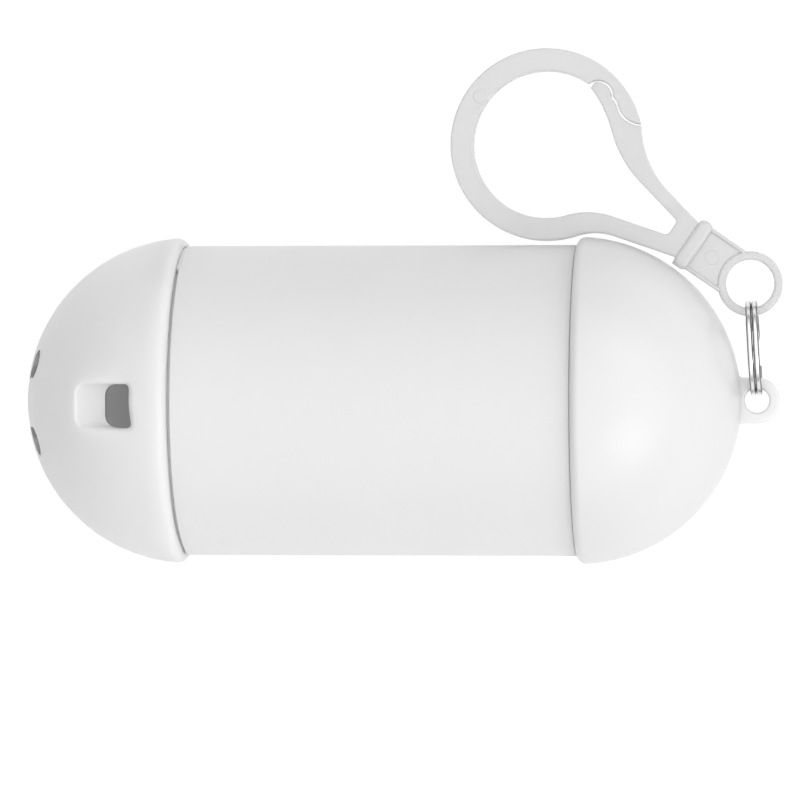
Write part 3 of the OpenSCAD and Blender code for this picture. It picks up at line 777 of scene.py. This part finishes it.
# The walls inside the mouth, under the skin of the dome, get the darker grey: painted shade for
# the shade inside the slots.
for face in slot_cap.data.polygons:
    place = face.center - middle
    near_pole = place.x < -0.8 * CAP_R * MM and sqrt(place.y ** 2 + place.z ** 2) < mouth_edge
    if near_pole and place.length < (CAP_R - 0.1) * MM:
        face.material_index = 1
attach(slot_cap, "slot_cap")
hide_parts("slot_cap")

# ---- bag roll ----------------------------------------------------------------------------
# A roll of thin plastic bags, wound flat round its core: one long spiral of film whose slightly
# uneven edges show at both ends.

ROLL_R = 15.0
ROLL_LEN = 58.0
ROLL_MIDDLE = (-0.175, -1.7)
CORE_R = 6.3
CORE_BORE_R = 5.5
CORE_LEN = 59.0
FILM_TURNS = 24
FILM_STEPS = 60
FILM_T = 0.24
EDGE_WANDER = 0.09
WANDER_TURNS = 2.3


def film_plastic():
    """Thin milky film in many layers: fine wrinkles along the roll and a soft sheen."""
    material, nodes, links, skin = new_material("milky_film")
    skin.inputs["IOR"].default_value = 1.5
    place = nodes.new("ShaderNodeTexCoord")
    stretch = nodes.new("ShaderNodeMapping")
    stretch.inputs["Scale"].default_value = (60, 700, 700)
    links.new(place.outputs["Object"], stretch.inputs["Vector"])
    creases = nodes.new("ShaderNodeTexNoise")
    creases.inputs["Scale"].default_value = 1.0
    creases.inputs["Detail"].default_value = 4
    creases.inputs["Distortion"].default_value = 0.6
    links.new(stretch.outputs["Vector"], creases.inputs["Vector"])
    fold = creases.outputs["Fac"]
    tint = mix_colours(nodes, links, fold, (0.66, 0.68, 0.68), (0.80, 0.82, 0.82))
    links.new(tint.outputs["Result"], skin.inputs["Base Color"])
    finish_skin(nodes, links, skin, fold, fold, (0.28, 0.46), 0.00012)
    return material


bm = bmesh.new()
film_in = CORE_R + 0.02
film_out = film_in + FILM_T
end = ROLL_LEN / 2
chain(bm, [(-end, film_in), (-end, film_out), (end, film_out), (end, film_in)])
bm.faces.new(bm.verts)
bmesh.ops.spin(
    bm, geom=all_of(bm), cent=(0, 0, 0), axis=(1, 0, 0), dvec=(0, 0, 0),
    angle=radians(360 * FILM_TURNS), steps=FILM_TURNS * FILM_STEPS, use_merge=False,
)
bm.verts.ensure_lookup_table()
pitch = (ROLL_R - FILM_T - film_in) / FILM_TURNS
for number, vert in enumerate(bm.verts):
    turn = number // 4 / FILM_STEPS
    away = Vector((0, vert.co.y, vert.co.z)).normalized()
    vert.co += away * min(pitch * turn, ROLL_R - FILM_T - film_in)
    inwards = 1 if vert.co.x < 0 else -1
    vert.co.x += inwards * EDGE_WANDER * (sin(WANDER_TURNS * turn) + 1)
bmesh.ops.recalc_face_normals(bm, faces=bm.faces)
bmesh.ops.translate(bm, verts=bm.verts, vec=(ROLL_MIDDLE[0], 0, ROLL_MIDDLE[1]))
roll = settle("wound_film", bm, film_plastic())
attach(roll, "roll")
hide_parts("bag_roll")

# ---- roll core ---------------------------------------------------------------------------
# The paperboard tube that the film is wound on. It is wound from a strip of grey-brown board,
# whose edges leave a spiral seam, and stands a little out of the film at both ends.

SEAM_PITCH = 0.021
SEAM_SHARE = 0.025


def paperboard():
    """Grey-brown board: short fibres, and the dark line of a seam that winds along the tube."""
    material, nodes, links, skin = new_material("paperboard")
    skin.inputs["Specular IOR Level"].default_value = 0.25
    place = nodes.new("ShaderNodeTexCoord")
    fibres = nodes.new("ShaderNodeTexNoise")
    fibres.inputs["Scale"].default_value = 1400
    fibres.inputs["Detail"].default_value = 4
    links.new(place.outputs["Object"], fibres.inputs["Vector"])
    middle = nodes.new("ShaderNodeMapping")
    centre = AXIS + Vector((0, 0, ROLL_MIDDLE[1] * MM))
    middle.inputs["Location"].default_value = -centre
    links.new(place.outputs["Object"], middle.inputs["Vector"])
    parts = nodes.new("ShaderNodeSeparateXYZ")
    links.new(middle.outputs["Vector"], parts.inputs["Vector"])
    angle = math_node(nodes, "ARCTAN2")
    links.new(parts.outputs["Y"], angle.inputs[0])
    links.new(parts.outputs["Z"], angle.inputs[1])
    turns = math_node(nodes, "DIVIDE", 2 * pi)
    links.new(angle.outputs[0], turns.inputs[0])
    along = math_node(nodes, "MULTIPLY_ADD", 1 / SEAM_PITCH)
    links.new(parts.outputs["X"], along.inputs[0])
    links.new(turns.outputs[0], along.inputs[2])
    phase = math_node(nodes, "FRACT")
    links.new(along.outputs[0], phase.inputs[0])
    seam = range_node(nodes, 0.0, 1.0, 0.0, SEAM_SHARE)
    links.new(phase.outputs[0], seam.inputs["Value"])
    fibre = fibres.outputs["Fac"]
    tint = mix_colours(nodes, links, fibre, (0.40, 0.33, 0.25), (0.56, 0.48, 0.37))
    dark = mix_colours(nodes, links, seam.outputs["Result"], (0.22, 0.18, 0.13), (0.5, 0.5, 0.5))
    links.new(tint.outputs["Result"], dark.inputs["B"])
    links.new(dark.outputs["Result"], skin.inputs["Base Color"])
    heights = math_node(nodes, "ADD")
    links.new(fibre, heights.inputs[0])
    links.new(seam.outputs["Result"], heights.inputs[1])
    finish_skin(nodes, links, skin, fibre, heights.outputs[0], (0.78, 0.94), 0.00008)
    return material


bm = bmesh.new()
end = CORE_LEN / 2
section = chain(bm, [(-end, CORE_BORE_R), (-end, CORE_R), (end, CORE_R), (end, CORE_BORE_R)])
bm.edges.new((section[-1], section[0]))
round_corners(bm, section, 0.15, 3)
brace(bm)
turn_section(bm, 96)
bmesh.ops.translate(bm, verts=bm.verts, vec=(ROLL_MIDDLE[0], 0, ROLL_MIDDLE[1]))
core = settle("paper_core", bm, paperboard())
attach(core, "roll")
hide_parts("roll_core")

# ---- split ring --------------------------------------------------------------------------
# Two close turns of flattened spring-steel wire with a bright plating. The wire crosses from one
# turn to the other in a short smooth step, and both its ends are cut square and broken round.
# The flanks of each turn, the sides that face along the ring's axis, are painted dark: painted
# shade between the turns and a painted dark reflection on the outer sides. The crests keep the
# bright plating.

RING_MID_R = 5.45
WIRE_W = 0.7
WIRE_T = 0.68
TURN_PITCH = 0.74
WIRE_START = 24
WIRE_END = 696
CROSS_ARC = 40
RING_LEAN = 93.4
RING_OFFSET = 6.4
RING_STEPS = 336
WIRE_ROUND = 0.29
# How far from the middle of a turn the plate stays bright, and where the painted shade is full.
BRIGHT_HALF = 0.12
PAINTED_SHADE_HALF = 0.31
lean = Matrix.Rotation(radians(RING_LEAN), 4, "Z")
RING_AXIS = lean @ Vector((0, 1, 0))
ring_place = Matrix.Translation((EYELET_X, 0, 0)) @ lean
RING_MIDDLE = AXIS + (ring_place @ Vector((RING_OFFSET, 0, 0))) * MM


def plated_wire_with_painted_shade():
    """Bright nickel plate with a faint random wear. The flanks of each turn are painted dark, as
    painted shade and a painted dark reflection; only the crests keep the bright plate.
    """
    material, nodes, links, skin = new_material("plated_wire_with_painted_shade")
    skin.inputs["Metallic"].default_value = 1.0
    place = nodes.new("ShaderNodeTexCoord")
    wear = nodes.new("ShaderNodeTexNoise")
    wear.inputs["Scale"].default_value = 900
    wear.inputs["Detail"].default_value = 3
    links.new(place.outputs["Object"], wear.inputs["Vector"])
    worn = wear.outputs["Fac"]
    tint = mix_colours(nodes, links, worn, (0.74, 0.74, 0.75), (0.86, 0.86, 0.87))
    across = nodes.new("ShaderNodeVectorMath")
    across.operation = "DOT_PRODUCT"
    across.inputs[1].default_value = RING_AXIS
    links.new(place.outputs["Object"], across.inputs[0])
    level = math_node(nodes, "SUBTRACT", RING_MIDDLE.dot(RING_AXIS))
    links.new(across.outputs["Value"], level.inputs[0])
    apart = math_node(nodes, "ABSOLUTE")
    links.new(level.outputs[0], apart.inputs[0])
    flank = math_node(nodes, "SUBTRACT", TURN_PITCH / 2 * MM)
    links.new(apart.outputs[0], flank.inputs[0])
    away = math_node(nodes, "ABSOLUTE")
    links.new(flank.outputs[0], away.inputs[0])
    # Painted shade and painted dark reflection: the plate goes dark away from the crest of each turn.
    painted_flank_shade = range_node(nodes, 0.0, 1.0, BRIGHT_HALF * MM, PAINTED_SHADE_HALF * MM)
    painted_flank_shade.interpolation_type = "SMOOTHSTEP"
    links.new(away.outputs[0], painted_flank_shade.inputs["Value"])
    plate_and_painted_shade = mix_colours(
        nodes, links, painted_flank_shade.outputs["Result"], (0.8, 0.8, 0.8), (0.07, 0.07, 0.075)
    )
    links.new(tint.outputs["Result"], plate_and_painted_shade.inputs["A"])
    links.new(plate_and_painted_shade.outputs["Result"], skin.inputs["Base Color"])
    finish_skin(nodes, links, skin, worn, worn, (0.10, 0.24), 0.000006)
    return material


bm = bmesh.new()
corners = [
    bm.verts.new((RING_MID_R + side * WIRE_W / 2, 0, level * WIRE_T / 2))
    for side, level in ((1, 1), (-1, 1), (-1, -1), (1, -1))
]
for a, b in zip(corners, corners[1:] + corners[:1]):
    bm.edges.new((a, b))
round_corners(bm, corners, WIRE_ROUND, 5)
bmesh.ops.contextual_create(bm, geom=bm.edges[:])
around_wire = len(bm.verts)
bm.transform(Matrix.Rotation(radians(WIRE_START), 4, "Z"))
bmesh.ops.spin(
    bm, geom=all_of(bm), cent=(0, 0, 0), axis=(0, 0, 1), dvec=(0, 0, 0),
    angle=radians(WIRE_END - WIRE_START), steps=RING_STEPS, use_merge=False,
)
bm.verts.ensure_lookup_table()
for number, vert in enumerate(bm.verts):
    turn = WIRE_START + number // around_wire * (WIRE_END - WIRE_START) / RING_STEPS
    share = min(1, max(0, (turn - 360 + CROSS_ARC / 2) / CROSS_ARC))
    vert.co.z += TURN_PITCH * (share * share * (3 - 2 * share) - 0.5)
ends = [e for e in bm.edges if any(len(f.verts) > 4 for f in e.link_faces)]
bmesh.ops.bevel(bm, geom=ends, offset=0.07, affect="EDGES", segments=2, profile=0.5, material=-1)
bmesh.ops.recalc_face_normals(bm, faces=bm.faces)
stand = Matrix.Rotation(radians(90), 4, "Y") @ Matrix.Rotation(radians(90), 4, "X")
bm.transform(ring_place @ Matrix.Translation((RING_OFFSET, 0, 0)) @ stand)
ring = settle("split_ring_wire", bm, plated_wire_with_painted_shade())
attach(ring, "split_ring")
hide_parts("split_ring")

# ---- clip --------------------------------------------------------------------------------
# A snap clip in one moulding of slightly translucent plastic. A round eye takes the split ring, a
# thick collar carries the two arms, and the fixed arm bends into the round loop of the hook. The
# flat faces keep two round ejector marks.

CLIP_T = 2.6
CLIP_BEVEL = 0.2
EYE_T = 2.0
EYE_HOLE_R = 2.95
EYE_R = 3.95
WEB_T = 1.4
WEB_HALF = 3.0
WEB_START = 3.2
WEB_ROUND = 0.15
RAIL_SIZE = (5.8, 0.5, EYE_T)
RAIL_AT = 5.5
COLLAR_AT = 8.4
COLLAR_SIZE = (1.9, 6.6, 3.4)
STUB_END = 11.6
FORK_ROUND = 0.4
GATE_ROOT = (13.0, -2.45)
GATE_SPREAD = 12
ROOT_BACK = 4.6
FLEX_START = -0.9
MARKS = ((40.12, -0.3, CLIP_T), (5.62, 0, WEB_T))
MARK_R = 0.86
MIDDLE_CUT = 0.013  # a little off the middle plane, where the solids have vertices
SHOULDER_END = COLLAR_AT + 0.9
SHOULDER_HALF = 3.28
FORK_END = 14
FORK_HALF = 2.6
FLEX_SLICE = 0.11

EYE = Vector(next(joint for joint in frame["joints"] if joint["name"] == "clip_swing")["pos_m"])
LOOP = Vector(frame["record"]["mounts"][0]["pos_m"])
CLIP_PLACE = (
    Matrix.Translation(EYE) @ Matrix.Rotation(atan2(LOOP.y - EYE.y, LOOP.x - EYE.x), 4, "Z")
    @ Matrix.Scale(MM, 4)
)


def outline_at_middle(node):
    """The filled outline of a flat solid at half its thickness, laid out along the clip."""
    bm = bmesh.new()
    bm.from_mesh(frame["nodes"][node].data)
    bmesh.ops.remove_doubles(bm, verts=bm.verts, dist=1e-7)
    bm.transform(CLIP_PLACE.inverted())
    bmesh.ops.bisect_plane(
        bm, geom=all_of(bm), dist=1e-5, plane_co=(0, 0, MIDDLE_CUT),
        plane_no=(0, 0, 1), clear_inner=True, clear_outer=True,
    )
    for vert in bm.verts:
        vert.co.z = 0
    bmesh.ops.remove_doubles(bm, verts=bm.verts, dist=0.04)
    bmesh.ops.triangle_fill(bm, edges=bm.edges[:], use_beauty=True)
    return bm


def keep_beyond(bm, place, way):
    """Cuts a flat group of faces by a line and keeps what lies beyond it."""
    bmesh.ops.bisect_plane(
        bm, geom=all_of(bm), plane_co=(*place, 0),
        plane_no=(*way, 0), clear_inner=True,
    )


def drop_faces(bm, unwanted):
    faces = [f for f in bm.faces if unwanted(f.calc_center_median())]
    bmesh.ops.delete(bm, geom=faces, context="FACES")


def mark_pad(x, y, height):
    """The round trace that an ejector pin leaves on a moulding."""
    bm = bmesh.new()
    bmesh.ops.create_cone(
        bm, cap_ends=True, segments=40, radius1=MARK_R, radius2=MARK_R, depth=height + 0.12,
        matrix=Matrix.Translation((x, y, 0)),
    )
    rims = [e for e in bm.edges if e.calc_face_angle(0) > 1]
    bmesh.ops.bevel(
        bm, geom=rims, offset=0.05, affect="EDGES", segments=3, profile=0.5, material=-1
    )
    for face in [f for f in bm.faces if len(f.verts) > 10]:
        bmesh.ops.inset_individual(bm, faces=[face], thickness=0.2, use_even_offset=True)
        for vert in face.verts:
            vert.co.z *= 1 - 0.03 / abs(vert.co.z)
    return bm


def milky_acetal():
    """Natural acetal: milky, a little see-through at its edges, with faint flow lines."""
    material = plastic("milky_acetal", 0.77, 0.72, 0.24, 1500, 0.3, 0.8)
    skin = material.node_tree.nodes["Principled BSDF"]
    skin.inputs["IOR"].default_value = 1.48
    skin.inputs["Transmission Weight"].default_value = 0.5
    return material


MILKY_ACETAL = milky_acetal()

root = Vector((*GATE_ROOT, 0))
gate_way = Vector((cos(radians(GATE_SPREAD)), -sin(radians(GATE_SPREAD)), 0))
gate_side = Vector((gate_way.y, -gate_way.x, 0))
arm = outline_at_middle("clip_gate")
keep_beyond(arm, root.xy, gate_way.xy)
cut_edges = [
    e for e in arm.edges
    if e.is_boundary and all(abs((v.co - root).dot(gate_way)) < 1e-4 for v in e.verts)
]
cut_places = [v.co.copy() for e in cut_edges for v in e.verts]
outer = max(cut_places, key=lambda place: place.dot(gate_side))
back = bmesh.ops.extrude_edge_only(arm, edges=cut_edges)["geom"]
bmesh.ops.translate(arm, verts=verts_in(back), vec=-gate_way * ROOT_BACK)

# The outlines of the hook and the gate are joined, and one plate is moulded from them. It is
# then split in the gate's root, so that the gate can flex.
outline = outline_at_middle("clip_hook")
hook = outline.copy()
keep_beyond(hook, (COLLAR_AT - 0.3, 0), (1, 0))
drop_faces(hook, lambda c: c.x < SHOULDER_END and abs(c.y) > SHOULDER_HALF)
for place, way in (((STUB_END, 0, 0), (1, 0, 0)), (outer, gate_side)):
    bmesh.ops.bisect_plane(hook, geom=all_of(hook), plane_co=place, plane_no=way)
drop_faces(
    hook,
    lambda c: c.y < 0 and c.x < FORK_END and (c.x > STUB_END or (c - outer).dot(gate_side) > 0),
)
both = carve(plate(outline_of(hook), 1, 0), plate(outline_of(arm), 1, 0), "UNION")
hook.free()
arm.free()
bmesh.ops.bisect_plane(
    both, geom=all_of(both), plane_co=(0, 0, MIDDLE_CUT), plane_no=(0, 0, 1),
    clear_inner=True, clear_outer=True,
)
for vert in both.verts:
    vert.co.z = 0
bmesh.ops.remove_doubles(both, verts=both.verts, dist=0.03)
bmesh.ops.dissolve_limit(both, angle_limit=radians(0.3), verts=both.verts, edges=both.edges)
fork_corners = [
    v for v in both.verts if abs(v.co.x - STUB_END) < 0.02 and abs(v.co.y) < FORK_HALF
]
round_corners(both, fork_corners, FORK_ROUND, 6)
bmesh.ops.triangle_fill(both, edges=both.edges[:], use_beauty=True)
moulding = plate(outline_of(both), CLIP_T, CLIP_BEVEL)
both.free()
split = root + gate_way * (FLEX_START - 0.02)
bmesh.ops.bisect_plane(moulding, geom=all_of(moulding), plane_co=split, plane_no=gate_way)
gate_faces = set()
front = [min(moulding.faces, key=lambda f: (f.calc_center_median() - root - gate_way * 3).length)]
while front:
    face = front.pop()
    gate_faces.add(face)
    front += [
        other for edge in face.edges for other in edge.link_faces
        if other not in gate_faces and (other.calc_center_median() - split).dot(gate_way) > 0
    ]
gate_numbers = {face.index for face in gate_faces}


def part_of_moulding(wanted):
    """One side of the moulding, with the cut through the gate's root closed."""
    side = moulding.copy()
    side.faces.ensure_lookup_table()
    bmesh.ops.delete(
        side, geom=[f for f in side.faces if (f.index in gate_numbers) != wanted], context="FACES"
    )
    bmesh.ops.contextual_create(side, geom=[e for e in side.edges if e.is_boundary])
    bmesh.ops.triangulate(side, faces=[f for f in side.faces if len(f.verts) > 4])
    bmesh.ops.recalc_face_normals(side, faces=side.faces)
    return side


gate_part = part_of_moulding(True)
bm = part_of_moulding(False)
moulding.free()

keep_beyond(outline, (COLLAR_AT, 0), (-1, 0))
keep_beyond(outline, (0, WEB_HALF - WEB_ROUND), (0, -1))
keep_beyond(outline, (0, WEB_ROUND - WEB_HALF), (0, 1))
keep_beyond(outline, (WEB_START, 0), (1, 0))
bm = carve(bm, plate(outline_of(outline), WEB_T, WEB_ROUND), "UNION")
outline.free()

for side in (-1, 1):
    rail = bmesh.new()
    bmesh.ops.create_cube(rail, size=1, matrix=Matrix.Diagonal((*RAIL_SIZE, 1)))
    bmesh.ops.bevel(
        rail, geom=rail.edges[:], offset=0.18, affect="EDGES", segments=3, profile=0.5, material=-1
    )
    rail_y = side * (WEB_HALF - RAIL_SIZE[1] / 2)
    bmesh.ops.translate(rail, verts=rail.verts, vec=(RAIL_AT, rail_y, 0))
    bm = carve(bm, rail, "UNION")

band = bmesh.new()
half = EYE_T / 2
section = chain(band, [(-half, EYE_HOLE_R), (-half, EYE_R), (half, EYE_R), (half, EYE_HOLE_R)])
band.edges.new((section[-1], section[0]))
round_corners(band, section, 0.34, 5)
turn_section(band, 96)
bmesh.ops.rotate(
    band, verts=band.verts, cent=(0, 0, 0), matrix=Matrix.Rotation(radians(90), 3, "Y")
)
bm = carve(bm, band, "UNION")

collar = bmesh.new()
bmesh.ops.create_cube(collar, size=1, matrix=Matrix.Diagonal((*COLLAR_SIZE, 1)))
upright = [e for e in collar.edges if abs(e.verts[0].co.z - e.verts[1].co.z) > 1]
bmesh.ops.bevel(
    collar, geom=upright, offset=0.8, affect="EDGES", segments=8, profile=0.5, material=-1
)
brims = [e for e in collar.edges if e.calc_face_angle(0) > 1]
bmesh.ops.bevel(
    collar, geom=brims, offset=0.55, affect="EDGES", segments=5, profile=0.5, material=-1
)
bmesh.ops.translate(collar, verts=collar.verts, vec=(COLLAR_AT, 0, 0))
bm = carve(bm, collar, "UNION")
for x, y, height in MARKS:
    bm = carve(bm, mark_pad(x, y, height), "UNION")
clip = settle("clip_body", bm, MILKY_ACETAL, CLIP_PLACE, crisp_flats=True)
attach(clip, "clip")
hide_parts("clip_hook")

# ---- gate --------------------------------------------------------------------------------
# The springy arm of the clip. Its thin root bends and grows out of the clip's neck in the same
# moulding, and its blunt nose rests in the hollow at the end of the hook. The root is sliced
# finely across its length.

bm = gate_part
for step in range(-7, 12):
    bmesh.ops.bisect_plane(
        bm, geom=all_of(bm), plane_co=root + gate_way * step * FLEX_SLICE,
        plane_no=gate_way,
    )
gate = settle("gate_arm", bm, MILKY_ACETAL, CLIP_PLACE, crisp_flats=True)
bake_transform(gate)
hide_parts("clip_gate")
